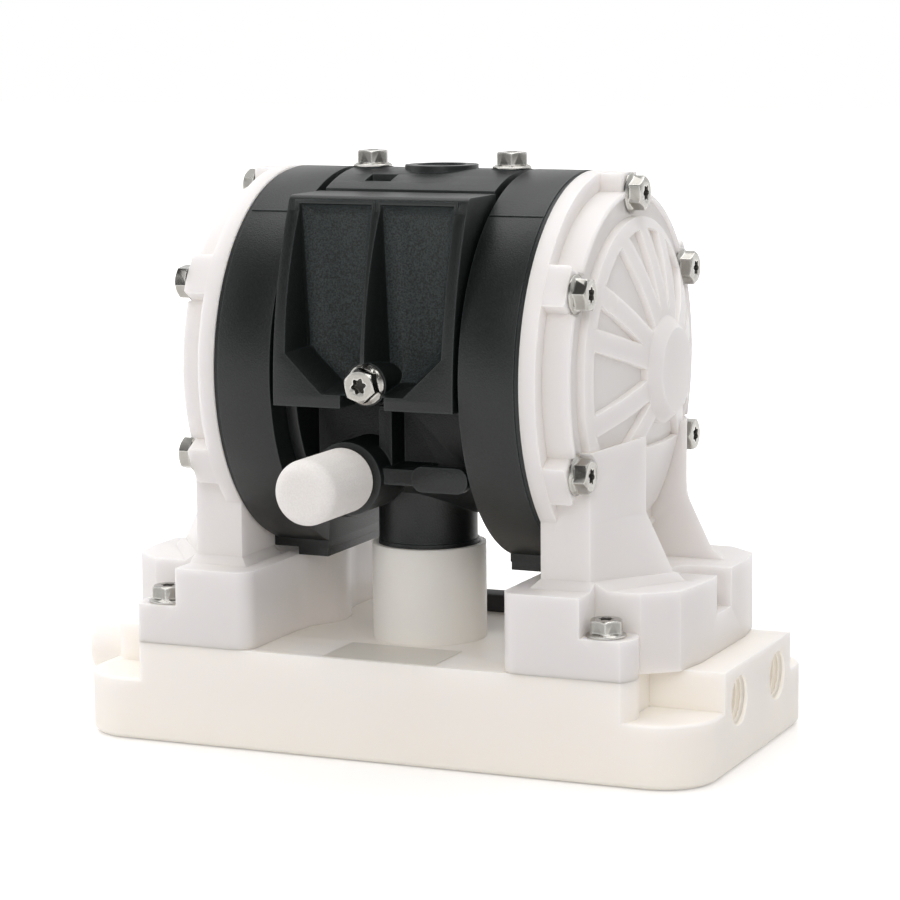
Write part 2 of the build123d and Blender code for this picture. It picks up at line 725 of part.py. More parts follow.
def make_seat(up):
    """Ring with a conical seat: up for the inlet, down for the outlet."""
    body = along_z(seat_r, 0, seat_h, 0, 0) - along_z(seat_bore_r, -over, seat_h + over, 0, 0)
    body -= Pos(0, 0, seat_h / 2) * Cone(seat_bore_r, seat_mouth(), seat_h / 2, align=low)
    if not up:
        body = Pos(0, 0, seat_h) * Rot(180, 0, 0) * body
    return body


def ball_above_seat():
    """Height of the ball centre over the top face of its seat when it is closed."""
    slope = math.atan2(seat_mouth() - seat_bore_r, seat_h / 2)
    distance = (ball_r + run_clear / 2) / math.cos(slope)
    apex = seat_bore_r / math.tan(slope)
    return -seat_h / 2 - apex + distance / math.tan(slope)


def make_silencer():
    turn = 1 - math.sqrt(0.5)
    tail_y = silencer_start - silencer_tail_r
    nose_y = silencer_end + silencer_nose_r
    outline = [
        Line((silencer_start, 0), (silencer_start, silencer_r - silencer_tail_r)),
        ThreePointArc((silencer_start, silencer_r - silencer_tail_r),
                      (silencer_start - silencer_tail_r * turn, silencer_r - silencer_tail_r * turn),
                      (tail_y, silencer_r)),
        Line((tail_y, silencer_r), (nose_y, silencer_r)),
        ThreePointArc((nose_y, silencer_r),
                      (silencer_end + silencer_nose_r * turn, silencer_r - silencer_nose_r * turn),
                      (silencer_end, silencer_r - silencer_nose_r)),
        Line((silencer_end, silencer_r - silencer_nose_r), (silencer_end, 0)),
        Line((silencer_end, 0), (silencer_start, 0)),
    ]
    body = Pos(exhaust_x, 0, exhaust_z) * Rot(0, 0, 90) * revolve(make_face(outline), axis=Axis.X)
    return body + along_y(exhaust_bore_r - seat_clear, silencer_start - over,
                          exhaust_face + exhaust_depth - over, exhaust_x, exhaust_z)


def make_spring(z0, z1, x, y):
    """Coil spring between two heights."""
    height = z1 - z0 - spring_wire
    path = Helix(pitch=height / spring_turns, height=height, radius=spring_r)
    start = Plane(origin=path @ 0, z_dir=path % 0)
    coil = sweep(start * RegularPolygon(spring_wire / 2, 6), path=path, is_frenet=True)
    return Pos(x, y, z0 + spring_wire / 2) * coil


right_cover = make_cover()
save(make_base(), "base_manifold")
save(right_cover, "fluid_cover_right")
save(other_side(right_cover), "fluid_cover_left")
ring = make_ring()
save(ring, "air_cover_right")
save(other_side(ring), "air_cover_left")
save(make_housing(), "centre_housing")
save(make_cap(), "top_cap")
save(make_valve_cover(), "valve_cover")
save(make_silencer(), "exhaust_silencer")

# Screws
rim_screws = []
rim_length = boss_x - ring_inner_x - air_wall - over
for index in range(rim_bolts):
    y, z = at_rim(index)
    one = Pos(boss_x, y, z) * Rot(0, 90, 0) * screw(rim_length)
    rim_screws += [one, other_side(one)]
group(rim_screws, "rim_bolts")
group([Pos(side * x, y, foot_ledge) * screw(foot_bolt_length)
       for side in (-1, 1) for x, y in foot_spots], "foot_bolts")
group([Pos(side * top_bolt_x, 0, axis_z + ring_r) * screw(top_bolt_length) for side in (-1, 1)], "top_bolts")
save(Pos(0, cover_bolt_seat, cover_bolt_z) * Rot(90, 0, 0) * screw(cover_bolt_length), "valve_cover_bolt")
inner_screws = []
for y, z in inner_screw_spots():
    x0 = ring_inner_x + air_wall
    one = along_x(inner_head_r, x0, x0 + inner_screw_r, y, z)
    one += along_x(inner_screw_r, x0 - inner_screw_length, x0 + over, y, z)
    inner_screws += [one, other_side(one)]
group(inner_screws, "air_cover_screws")

# Seals and gaskets
face_gasket = along_x(disc_r - over, ring_inner_x - gasket_t, ring_inner_x)
face_gasket -= along_x(gasket_bore_r, ring_inner_x - over, ring_inner_x + over)
for y, z in inner_screw_spots():
    face_gasket -= along_x(inner_screw_r + bolt_clear, ring_inner_x - over, ring_inner_x + over, y, z)
face_gasket -= block(0, ring_r, -ring_r, front_y, recess_top, axis_z + ring_r)
group([face_gasket, other_side(face_gasket)], "air_cover_gaskets")
shaft_seal = along_x(shaft_r + seal_w, ring_inner_x, ring_inner_x + air_wall)
shaft_seal -= along_x(shaft_r + run_clear, ring_inner_x - over, ring_inner_x + air_wall + over)
group([shaft_seal, other_side(shaft_seal)], "shaft_seals")
bush = along_x(shaft_r + bush_wall - seat_clear, ring_inner_x - gasket_t - bush_length,
               ring_inner_x - gasket_t)
bush -= along_x(shaft_r + run_clear, ring_inner_x - 2 * bush_length, ring_inner_x)
group([bush, other_side(bush)], "shaft_bushes")

# Air valve
save(make_valve_block(), "valve_block")
valve_gasket = block(-block_half, block_half, front_y + block_set - gasket_t, front_y + block_set,
                     block_low, block_high)
for slot in port_slots(front_y, front_y + block_set + over):
    valve_gasket -= slot
save(valve_gasket, "valve_gasket")
end_plug = along_x(spool_r, block_half - plug_t, block_half, spool_y, spool_z)
group([end_plug, other_side(end_plug)], "valve_end_plugs")
spool, spool_rings = make_spool()
save(spool, "valve_spool")
group(spool_rings, "spool_rings")
plate_in = web_x - plate_gap - air_plate_t
pilot_half = plate_in - half_stroke + pilot_travel - 2 * plate_gap
save(along_x(pilot_r, -pilot_half, pilot_half, 0, pilot_z), "pilot_rod")

# Shaft assembly and diaphragms
save(make_shaft(), "diaphragm_shaft")
air_plate, fluid_plate = make_plates()
save(air_plate, "air_plate_right")
save(other_side(air_plate), "air_plate_left")
save(fluid_plate, "fluid_plate_right")
save(other_side(fluid_plate), "fluid_plate_left")
diaphragm = make_diaphragm()
save(diaphragm, "diaphragm_right")
save(other_side(diaphragm), "diaphragm_left")

# Check valves: the inlet ball rises from its seat, the outlet ball is pushed down off it
closed = ball_above_seat()
inlet_seats = []
outlet_seats = []
for side, name in ((1, "right"), (-1, "left")):
    x = side * valve_x
    inlet_seats.append(Pos(x, valve_y, deck_h - seat_h) * make_seat(True))
    outlet_seats.append(Pos(x, -valve_y, deck_h) * make_seat(False))
    save(Pos(x, valve_y, deck_h + closed) * Sphere(ball_r), f"inlet_ball_{name}")
    ball_z = deck_h - closed
    save(Pos(x, -valve_y, ball_z) * Sphere(ball_r), f"outlet_ball_{name}")
    spring_top = ball_z - math.sqrt(ball_r ** 2 - spring_r ** 2) - spring_wire
    save(make_spring(duct_z - duct_r, spring_top, x, -valve_y), f"outlet_spring_{name}")
group(inlet_seats, "inlet_seats")
group(outlet_seats, "outlet_seats")

# Low block on the base behind the socket
save(block(-rear_half, rear_half, rear_y, rear_y + rear_deep, deck_h, deck_h + rear_h), "rear_block")
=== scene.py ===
# %% [markdown]
# # A small air operated diaphragm pump
# Compressed air pushes two rubber diaphragms to and fro on one shaft. The black middle holds the air
# valve, the two pale covers hold the fluid, and the pale base joins their passages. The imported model
# already has every piece at its real size, so this lesson dresses it: softer edges, screws with their
# real heads, moulded plastic with grain and depth, a floor, soft light and a camera.

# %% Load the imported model
import json
import math

import bpy
from mathutils import Matrix, Vector


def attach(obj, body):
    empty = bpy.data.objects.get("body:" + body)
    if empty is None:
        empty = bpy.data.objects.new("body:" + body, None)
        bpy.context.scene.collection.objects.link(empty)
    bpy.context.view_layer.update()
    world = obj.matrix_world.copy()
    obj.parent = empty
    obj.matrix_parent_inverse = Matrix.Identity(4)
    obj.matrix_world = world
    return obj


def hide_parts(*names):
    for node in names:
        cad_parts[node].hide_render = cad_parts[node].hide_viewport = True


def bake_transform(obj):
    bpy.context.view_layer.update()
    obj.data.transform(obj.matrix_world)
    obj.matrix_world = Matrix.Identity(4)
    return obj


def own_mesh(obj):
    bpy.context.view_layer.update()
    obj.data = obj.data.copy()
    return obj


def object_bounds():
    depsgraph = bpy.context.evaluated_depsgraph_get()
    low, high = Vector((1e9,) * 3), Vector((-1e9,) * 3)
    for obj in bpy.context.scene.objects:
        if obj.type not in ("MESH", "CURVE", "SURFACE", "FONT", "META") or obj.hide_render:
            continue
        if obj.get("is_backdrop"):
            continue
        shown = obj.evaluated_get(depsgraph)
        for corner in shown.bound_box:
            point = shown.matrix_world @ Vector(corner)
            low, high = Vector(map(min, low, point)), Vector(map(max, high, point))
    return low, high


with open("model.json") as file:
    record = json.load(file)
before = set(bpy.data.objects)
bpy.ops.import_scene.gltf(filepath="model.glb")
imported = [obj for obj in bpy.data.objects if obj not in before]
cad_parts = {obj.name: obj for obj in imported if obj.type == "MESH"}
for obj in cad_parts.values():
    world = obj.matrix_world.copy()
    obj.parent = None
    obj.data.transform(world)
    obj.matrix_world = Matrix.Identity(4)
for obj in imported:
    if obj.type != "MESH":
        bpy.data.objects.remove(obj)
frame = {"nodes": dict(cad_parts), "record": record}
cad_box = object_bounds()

nodes = frame["nodes"]
mm = 0.001
print("nodes:", len(nodes), "size in mm:", [round(v / mm, 1) for v in cad_box[1] - cad_box[0]])

# %% [markdown]
# ## Working by hand, in code
# An operator acts on whatever is selected, and the imported model arrives selected. So each step
# starts from nothing selected, makes one object active, and picks faces or edges by where they lie.

# %% Small helpers for selecting and applying
smooth_below = math.radians(38)


def only(piece):
    """Selects one object and nothing else."""
    if bpy.context.object and bpy.context.object.mode != "OBJECT":
        bpy.ops.object.mode_set(mode="OBJECT")
    bpy.ops.object.select_all(action="DESELECT")
    piece.select_set(True)
    bpy.context.view_layer.objects.active = piece


def settle(piece):
    """Puts a piece's place into its mesh, so that its object sits at the origin."""
    only(piece)
    bpy.ops.object.transform_apply(location=True, rotation=True, scale=True)


def apply_modifiers(piece):
    """Makes every modifier of a piece part of its mesh."""
    only(piece)
    for modifier in list(piece.modifiers):
        bpy.ops.object.modifier_apply(modifier=modifier.name)


def face_outwards(piece):
    """Turns every face of a new mesh outwards."""
    only(piece)
    bpy.ops.object.mode_set(mode="EDIT")
    bpy.ops.mesh.select_all(action="SELECT")
    bpy.ops.mesh.normals_make_consistent(inside=False)
    bpy.ops.object.mode_set(mode="OBJECT")


# %% Helpers that shape a piece
def round_edges(piece, width, segments=2, angle=32):
    """Rounds every edge sharper than an angle, as a mould does, and shades what is left smooth."""
    bevel = piece.modifiers.new("edges", "BEVEL")
    bevel.width = width
    bevel.segments = segments
    bevel.limit_method = "ANGLE"
    bevel.angle_limit = math.radians(angle)
    bevel.harden_normals = False
    bevel.miter_outer = "MITER_ARC"
    apply_modifiers(piece)
    bpy.ops.object.shade_smooth_by_angle(angle=smooth_below)


def cut(piece, tool, operation="DIFFERENCE"):
    """Cuts a piece with a tool, or joins or trims it, and removes the tool."""
    boolean = piece.modifiers.new("cut", "BOOLEAN")
    boolean.object = tool
    boolean.operation = operation
    boolean.solver = "EXACT"
    apply_modifiers(piece)
    bpy.data.objects.remove(tool, do_unlink=True)


# %% A helper that copies a CAD node
merge_below = 0.004 * mm
floor_level = 0.05 * mm
flat_below = math.radians(0.6)


def copy_of(node, name):
    """A merged copy of a CAD node's mesh, ready to be shaped further.

    Flat facets are dissolved into one face. A face that stands on the floor keeps its facets,
    because one face can't have the many openings of a cored underside.
    """
    piece = bpy.data.objects.new(name, nodes[node].data.copy())
    bpy.context.scene.collection.objects.link(piece)
    only(piece)
    bpy.ops.object.mode_set(mode="EDIT")
    bpy.ops.mesh.select_all(action="SELECT")
    bpy.ops.mesh.remove_doubles(threshold=merge_below)
    bpy.ops.mesh.select_mode(type="FACE")
    bpy.ops.mesh.select_all(action="DESELECT")
    bpy.ops.object.mode_set(mode="OBJECT")
    for polygon in piece.data.polygons:
        polygon.select = polygon.center.z > floor_level
    bpy.ops.object.mode_set(mode="EDIT")
    bpy.ops.mesh.dissolve_limited(angle_limit=flat_below)
    bpy.ops.mesh.select_mode(type="VERT")
    bpy.ops.object.mode_set(mode="OBJECT")
    return piece


# %% A helper that hands a finished piece over
def finish_piece(piece, body, material, slot, *stands_for):
    """Gives a finished piece its material and its body, and hides the CAD nodes that it stands for."""
    piece.data.materials.clear()
    piece.data.materials.append(material)
    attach(piece, body)
    if stands_for:
        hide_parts(*stands_for)


# %% [markdown]
# ## Camera
# The photograph was taken with a long lens from a little above and to the right of the front. A long
# lens keeps the two round covers almost the same size, so the distance matters as much as the angle.

# %% Camera at the photograph's place
view_azimuth = math.radians(23.679)
view_elevation = math.radians(8.511)
view_roll = math.radians(-0.4947)
view_distance = 0.8468
aim = Vector((0, 0, 0.07607))
slide_right = 0.0015

back = Vector((math.sin(view_azimuth) * math.cos(view_elevation),
               -math.cos(view_azimuth) * math.cos(view_elevation),
               math.sin(view_elevation)))
level_right = Vector((math.cos(view_azimuth), math.sin(view_azimuth), 0))
level_up = back.cross(level_right)
right = level_right * math.cos(view_roll) + level_up * math.sin(view_roll)
up = level_up * math.cos(view_roll) - level_right * math.sin(view_roll)
camera_data = bpy.data.cameras.new("camera")
camera_data.lens = 124.744
camera_data.sensor_width = 36
camera = bpy.data.objects.new("camera", camera_data)
bpy.context.scene.collection.objects.link(camera)
turn = Matrix((right, up, back)).transposed().to_4x4()
camera.matrix_world = Matrix.Translation(aim + back * view_distance + right * slide_right) @ turn
bpy.context.scene.camera = camera
print("camera at", [round(v, 3) for v in camera.location])

# %% [markdown]
# ## Light
# A product photograph of pale and black plastic needs large soft lamps. The widest hangs overhead, so
# the rings shine on top and stay dark at half height. A second stands in front, high and to the right,
# and models the white covers, and a weak one on the left lifts the far side.


# %% Lamps
def softbox(name, place, target, size, power):
    """A soft rectangle of light at a place, turned towards a target. The power is in watts."""
    data = bpy.data.lights.new(name, "AREA")
    data.shape = "RECTANGLE"
    data.size = size[0]
    data.size_y = size[1]
    data.energy = power
    lamp = bpy.data.objects.new(name, data)
    lamp.location = place
    lamp.rotation_mode = "QUATERNION"
    lamp.rotation_quaternion = (Vector(target) - Vector(place)).to_track_quat("-Z", "Y")
    bpy.context.scene.collection.objects.link(lamp)
    print(name, "gives", power, "W")


softbox("overhead", (-0.10, 0.14, 1.00), (0, 0, 0.08), (1.0, 0.66), 3.1)
softbox("key_right", (0.32, -0.95, 0.78), (0, 0, 0.05), (0.6, 0.5), 2.25)
softbox("soft_left", (-0.95, -0.35, 0.45), (0, 0, 0.08), (0.5, 0.6), 1.0)

# %% [markdown]
# ## Nodes in few words
# The world, the floor and the finishes are all small trees of the same few nodes, so each kind of node
# gets a helper that makes it, links it and hands back what comes out of it.


# %% Helpers for node trees
def feed(tree, socket, value):
    """Links an output to a socket, or writes a number or a colour on it."""
    if isinstance(value, bpy.types.NodeSocket):
        tree.links.new(value, socket)
    elif isinstance(value, tuple):
        socket.default_value = (*value, 1)
    else:
        socket.default_value = value


def maths(tree, operation, a, b):
    """The result of a Math node on two values."""
    node = tree.nodes.new("ShaderNodeMath")
    node.operation = operation
    feed(tree, node.inputs[0], a)
    feed(tree, node.inputs[1], b)
    return node.outputs[0]


def remap(tree, value, start, end, low=0.0, high=1.0, smooth=False):
    """Turns a value that runs from start to end into one that runs from low to high."""
    node = tree.nodes.new("ShaderNodeMapRange")
    node.interpolation_type = "SMOOTHSTEP" if smooth else "LINEAR"
    feed(tree, node.inputs["Value"], value)
    for label, number in (("From Min", start), ("From Max", end), ("To Min", low), ("To Max", high)):
        node.inputs[label].default_value = number
    return node.outputs["Result"]


def mix_colours(tree, factor, a, b, way="MIX"):
    """Colour a where the factor is 0 and colour b where it is 1, or a times b."""
    node = tree.nodes.new("ShaderNodeMix")
    node.data_type = "RGBA"
    node.blend_type = way
    node.clamp_factor = True
    feed(tree, node.inputs["Factor"], factor)
    feed(tree, node.inputs["A"], a)
    feed(tree, node.inputs["B"], b)
    return node.outputs["Result"]


def mix_shaders(tree, factor, a, b):
    """Shader a where the factor is 0 and shader b where it is 1."""
    node = tree.nodes.new("ShaderNodeMixShader")
    feed(tree, node.inputs["Fac"], factor)
    feed(tree, node.inputs[1], a)
    feed(tree, node.inputs[2], b)
    return node.outputs[0]


# %% [markdown]
# ## World
# The world fills the shadows, a little less from the right, which shades the round covers. The camera
# sees a plain white background, which the Light Path node gives without adding light. Gloss sees white
# behind the pump and along the horizon, and a dim room in front, which draws the dark facets on the
# screws.

# %% What the world shows in each direction
world = bpy.data.worlds.new("studio")
bpy.context.scene.world = world
world.use_nodes = True
tree = world.node_tree
tree.nodes.clear()
direction = tree.nodes.new("ShaderNodeTexCoord")
along = tree.nodes.new("ShaderNodeSeparateXYZ")
tree.links.new(direction.outputs["Generated"], along.inputs[0])
# The fill goes from full on the left to 0.72 on the right
side_fill = remap(tree, along.outputs["X"], -0.6, 0.9, 1.0, 0.72)
# What gloss sees goes from 0.10 in front to full behind, and is full along the horizon
sweep = remap(tree, along.outputs["Y"], -0.35, 0.45, 0.10, 1.0, smooth=True)
horizon = remap(tree, along.outputs["Z"], 0.05, 0.32, 1.0, 0.0, smooth=True)
room = maths(tree, "MAXIMUM", sweep, horizon)


# %% Who sees which world
def background(tree, colour, strength):
    """A world of one colour, at a strength that may depend on the direction."""
    node = tree.nodes.new("ShaderNodeBackground")
    feed(tree, node.inputs["Color"], colour)
    feed(tree, node.inputs["Strength"], strength)
    return node.outputs[0]


fill = background(tree, (1.0, 0.985, 0.965), side_fill)
studio = background(tree, (1.0, 1.0, 1.0), room)
backdrop = background(tree, (1.0, 1.0, 1.0), 1.0)
path = tree.nodes.new("ShaderNodeLightPath")
mirrored = maths(tree, "MAXIMUM", path.outputs["Is Glossy Ray"], path.outputs["Is Transmission Ray"])
lighting = mix_shaders(tree, mirrored, fill, studio)
out = tree.nodes.new("ShaderNodeOutputWorld")
shown = mix_shaders(tree, path.outputs["Is Camera Ray"], lighting, backdrop)
tree.links.new(shown, out.inputs["Surface"])
bpy.context.scene.view_settings.view_transform = "Standard"
print("world nodes:", len(tree.nodes))

# %% [markdown]
# ## Floor
# White acrylic: it keeps the thin contact shadow and shows a faint reflection of the base. Away from
# the pump it fades into the white background, so no horizon shows.

# %% Floor
floor_drop = 0.0002
bpy.ops.object.select_all(action="DESELECT")
bpy.ops.mesh.primitive_plane_add(size=8, location=(0, 0, -floor_drop))
floor = bpy.context.object
floor.name = "floor"
paint = bpy.data.materials.new("white_acrylic")
paint.use_nodes = True
tree = paint.node_tree
shader = tree.nodes["Principled BSDF"]
shader.inputs["Base Color"].default_value = (0.86, 0.85, 0.85, 1)
shader.inputs["Roughness"].default_value = 0.12
shader.inputs["Specular IOR Level"].default_value = 0.35

# %% How the floor fades
gloss_share = 0.45
fade_start, fade_end = 0.12, 0.45
glow_near, glow_far = 0.22, 1.0
coords = tree.nodes.new("ShaderNodeTexCoord")
distance = tree.nodes.new("ShaderNodeVectorMath")
distance.operation = "LENGTH"
tree.links.new(coords.outputs["Object"], distance.inputs[0])
fade = remap(tree, distance.outputs["Value"], fade_start, fade_end, glow_near, glow_far, smooth=True)
glow = tree.nodes.new("ShaderNodeEmission")
tree.links.new(fade, glow.inputs["Strength"])
lit = tree.nodes.new("ShaderNodeAddShader")
tree.links.new(shader.outputs[0], lit.inputs[0])
tree.links.new(glow.outputs[0], lit.inputs[1])
path = tree.nodes.new("ShaderNodeLightPath")
dimmed = maths(tree, "MULTIPLY", path.outputs["Is Glossy Ray"], gloss_share)
seen = maths(tree, "MAXIMUM", path.outputs["Is Camera Ray"], dimmed)
surface = mix_shaders(tree, seen, shader.outputs[0], lit.outputs[0])
tree.links.new(surface, tree.nodes["Material Output"].inputs["Surface"])
floor.data.materials.append(paint)
floor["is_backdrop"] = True
print("floor nodes:", len(tree.nodes))

# %% [markdown]
# ## Effects that the finishes share
# Three effects come back in several finishes, so each is a node group. *Moulded grain* gives the fine
# texture that a sparked mould leaves, and the slow drift of tone in thick plastic. *Edge light* finds
# edges with the Bevel node, where a finish gets a painted highlight. *Hollows* finds corners and
# recesses, where milky plastic gets painted light: a creamier, lighter colour and a little glow, for
# the light that it carries through its walls.


# %% A helper that makes a group with named sockets
def new_group(name, inputs, outputs):
    """A group with its inputs, each with a first value, and its outputs. All carry numbers."""
    group = bpy.data.node_groups.new(name, "ShaderNodeTree")
    for label, value in inputs:
        socket = group.interface.new_socket(label, in_out="INPUT", socket_type="NodeSocketFloat")
        socket.default_value = value
    for label in outputs:
        group.interface.new_socket(label, in_out="OUTPUT", socket_type="NodeSocketFloat")
    return group, group.nodes.new("NodeGroupInput"), group.nodes.new("NodeGroupOutput")


# %% Moulded grain
mm_per_metre = 1000
grain_group, g_in, g_out = new_group(
    "moulded grain", [("Grain Size mm", 0.5), ("Drift Size mm", 14)], ["Grain", "Drift"])
coords = grain_group.nodes.new("ShaderNodeTexCoord")
fine = grain_group.nodes.new("ShaderNodeTexNoise")
fine.inputs["Detail"].default_value = 3
fine.inputs["Roughness"].default_value = 0.6
slow = grain_group.nodes.new("ShaderNodeTexNoise")
slow.inputs["Detail"].default_value = 2
grain_group.links.new(coords.outputs["Object"], fine.inputs["Vector"])
grain_group.links.new(coords.outputs["Object"], slow.inputs["Vector"])
fine_scale = maths(grain_group, "DIVIDE", mm_per_metre, g_in.outputs["Grain Size mm"])
slow_scale = maths(grain_group, "DIVIDE", mm_per_metre, g_in.outputs["Drift Size mm"])
grain_group.links.new(fine_scale, fine.inputs["Scale"])
grain_group.links.new(slow_scale, slow.inputs["Scale"])
grain_group.links.new(fine.outputs["Fac"], g_out.inputs["Grain"])
grain_group.links.new(slow.outputs["Fac"], g_out.inputs["Drift"])

# %% Edge light
edge_width = 0.9 * mm
edge_highlight_group, e_in, e_out = new_group("edge light", [("Sharpness", 6.0)], ["Edge"])
bent = edge_highlight_group.nodes.new("ShaderNodeBevel")
bent.samples = 4
bent.inputs["Radius"].default_value = edge_width
plain = edge_highlight_group.nodes.new("ShaderNodeNewGeometry")
dot = edge_highlight_group.nodes.new("ShaderNodeVectorMath")
dot.operation = "DOT_PRODUCT"
edge_highlight_group.links.new(bent.outputs["Normal"], dot.inputs[0])
edge_highlight_group.links.new(plain.outputs["Normal"], dot.inputs[1])
gap = maths(edge_highlight_group, "SUBTRACT", 1.0, dot.outputs["Value"])
lift = maths(edge_highlight_group, "MULTIPLY", gap, e_in.outputs["Sharpness"])
edge_highlight_group.links.new(lift, e_out.inputs["Edge"])

# %% Hollows, where the milky finishes get painted light
hollow_reach = 26 * mm
hollow_light_group, h_in, h_out = new_group("hollows", [("Depth", 1.0)], ["Hollow"])
open_sky = hollow_light_group.nodes.new("ShaderNodeAmbientOcclusion")
open_sky.samples = 6
open_sky.inputs["Distance"].default_value = hollow_reach
shut = maths(hollow_light_group, "SUBTRACT", 1.0, open_sky.outputs["AO"])
deeper = maths(hollow_light_group, "MULTIPLY", shut, h_in.outputs["Depth"])
hollow_light_group.links.new(deeper, h_out.inputs["Hollow"])
print("groups:", [g.name for g in bpy.data.node_groups])

# %% [markdown]
# ## Finishes
# Every finish is a Principled shader with its own colours. The grain drives the bump and a small
# change of roughness, the drift moves the colour a little, and the edge light paints a highlight on
# edges. Milky plastic carries light through its walls, so its hollows get painted light: a creamier
# colour and a little glow. A bare subsurface setting can't do that at this scale without going waxy.


# %% A helper that places a group
def place_group(tree, group, **values):
    """Adds a group to a material. A value's name is the input's name with underscores."""
    node = tree.nodes.new("ShaderNodeGroup")
    node.node_tree = group
    for label, value in values.items():
        node.inputs[label.replace("_", " ")].default_value = value
    return node.outputs


# %% A helper that builds one finish
drift_span = (0.3, 0.7)
speck_span = (0.35, 0.65)
rough_swing = 0.07
hollow_depth = 1.15
milk_radius = (0.85, 0.88, 1.0)


def finish(name, base, tone, edge, rough, bump, grain_mm, drift_mm, metal=0.0, subsurface=0.0,
           specular=0.5, depth_mm=6.0, speck=0.0, hollow_light=None, glow=0.0):
    """Builds a material.

    Base and tone are the two colours that it drifts between, edge is the colour of the painted
    highlight on edges, and the hollow colour and glow are painted light in its hollows. Bump, grain and
    drift are in millimetres.
    """
    material = bpy.data.materials.new(name)
    material.use_nodes = True
    tree = material.node_tree
    shader = tree.nodes["Principled BSDF"]
    grain = place_group(tree, grain_group, Grain_Size_mm=grain_mm, Drift_Size_mm=drift_mm)
    edges = place_group(tree, edge_highlight_group)
    body = mix_colours(tree, remap(tree, grain["Drift"], *drift_span), base, tone)
    # Painted highlight: edges lean towards the lighter edge colour
    edge_highlighted = mix_colours(tree, edges["Edge"], body, edge)
    specks = remap(tree, grain["Grain"], *speck_span, 1 - speck, 1 + speck)
    colour = mix_colours(tree, 1.0, edge_highlighted, specks, "MULTIPLY")
    # Painted light: hollows get a creamier, lighter colour and give off a little light
    if hollow_light:
        corners = place_group(tree, hollow_light_group, Depth=hollow_depth)
        colour = mix_colours(tree, corners["Hollow"], colour, hollow_light)
        painted_glow = mix_colours(tree, corners["Hollow"], (0.0, 0.0, 0.0), hollow_light)
        tree.links.new(painted_glow, shader.inputs["Emission Color"])
        shader.inputs["Emission Strength"].default_value = glow
    tree.links.new(colour, shader.inputs["Base Color"])
    roughness = remap(tree, grain["Grain"], 0.0, 1.0, rough - rough_swing, rough + rough_swing)
    tree.links.new(roughness, shader.inputs["Roughness"])
    dent = tree.nodes.new("ShaderNodeBump")
    dent.inputs["Strength"].default_value = 1.0
    dent.inputs["Distance"].default_value = bump * mm
    tree.links.new(grain["Grain"], dent.inputs["Height"])
    tree.links.new(dent.outputs["Normal"], shader.inputs["Normal"])
    shader.inputs["Metallic"].default_value = metal
    shader.inputs["Subsurface Weight"].default_value = subsurface
    shader.inputs["Subsurface Scale"].default_value = depth_mm * mm
    shader.inputs["Subsurface Radius"].default_value = milk_radius
    shader.inputs["Specular IOR Level"].default_value = specular
    return material


# %% The finishes of this pump
# In each finish the third colour is a painted highlight on edges; hollow colours and glow are painted
# light
black_nylon = finish("black_nylon", (0.0050, 0.0068, 0.0066), (0.0068, 0.0092, 0.0090),
                     (0.028, 0.036, 0.036), 0.37, 0.09, 0.45, 20, speck=0.35)
grained_nylon = finish("grained_nylon", (0.021, 0.028, 0.028), (0.026, 0.034, 0.034),
                       (0.050, 0.060, 0.060), 0.60, 0.15, 0.42, 16, speck=0.8)
cream_base = finish("cream_base", (0.88, 0.845, 0.82), (0.87, 0.83, 0.795), (0.89, 0.86, 0.835),
                    0.36, 0.012, 1.2, 40, subsurface=0.9, specular=0.35, depth_mm=4,
                    hollow_light=(0.95, 0.89, 0.81), glow=0.065)
milky_cover = finish("milky_cover", (0.78, 0.757, 0.757), (0.75, 0.73, 0.73), (0.80, 0.778, 0.776),
                     0.33, 0.012, 1.4, 30, subsurface=0.9, specular=0.35, depth_mm=4,
                     hollow_light=(0.85, 0.81, 0.78), glow=0.05)
# Painted shade: the thin floors are greyer where the dark inside shows through
milky_thin_shade = finish("milky_thin_shade", (0.735, 0.72, 0.72), (0.71, 0.695, 0.695), (0.77, 0.755, 0.755),
                    0.36, 0.012, 1.4, 18, subsurface=0.6, specular=0.3, depth_mm=2,
                    hollow_light=(0.80, 0.77, 0.75), glow=0.03)
port_cream_lit = finish("port_cream_lit", (0.89, 0.86, 0.82), (0.87, 0.83, 0.78), (0.94, 0.92, 0.90),
                    0.36, 0.012, 1.2, 30, subsurface=0.9, specular=0.3, depth_mm=4,
                    hollow_light=(0.96, 0.91, 0.84), glow=0.14)
# The silencer's strong glow is painted light that lifts its shaded side
porous_white = finish("porous_white", (0.785, 0.76, 0.745), (0.76, 0.735, 0.715), (0.84, 0.82, 0.81),
                      0.80, 0.14, 0.5, 12, subsurface=0.5, depth_mm=4, speck=0.04,
                      hollow_light=(0.90, 0.85, 0.81), glow=0.34)
stainless = finish("stainless", (0.43, 0.42, 0.39), (0.34, 0.33, 0.305), (0.80, 0.79, 0.76),
                   0.15, 0.010, 0.7, 5, metal=1.0)
socket_shadow = finish("socket_shadow", (0.05, 0.048, 0.043), (0.09, 0.085, 0.075),
                       (0.25, 0.24, 0.22), 0.45, 0.01, 0.5, 6, metal=0.6)
foil = finish("foil", (0.80, 0.765, 0.70), (0.75, 0.715, 0.655), (0.88, 0.86, 0.83),
              0.38, 0.01, 0.3, 18, metal=0.12)
black_rubber = finish("black_rubber", (0.018, 0.018, 0.019), (0.03, 0.03, 0.031),
                      (0.05, 0.05, 0.05), 0.7, 0.03, 0.5, 12)
bright_steel = finish("bright_steel", (0.60, 0.59, 0.58), (0.52, 0.51, 0.50), (0.8, 0.8, 0.8),
                      0.22, 0.004, 0.4, 10, metal=1.0)
machined_aluminium = finish("machined_aluminium", (0.68, 0.68, 0.69), (0.60, 0.60, 0.61),
                            (0.85, 0.85, 0.86), 0.30, 0.006, 0.3, 9, metal=1.0)
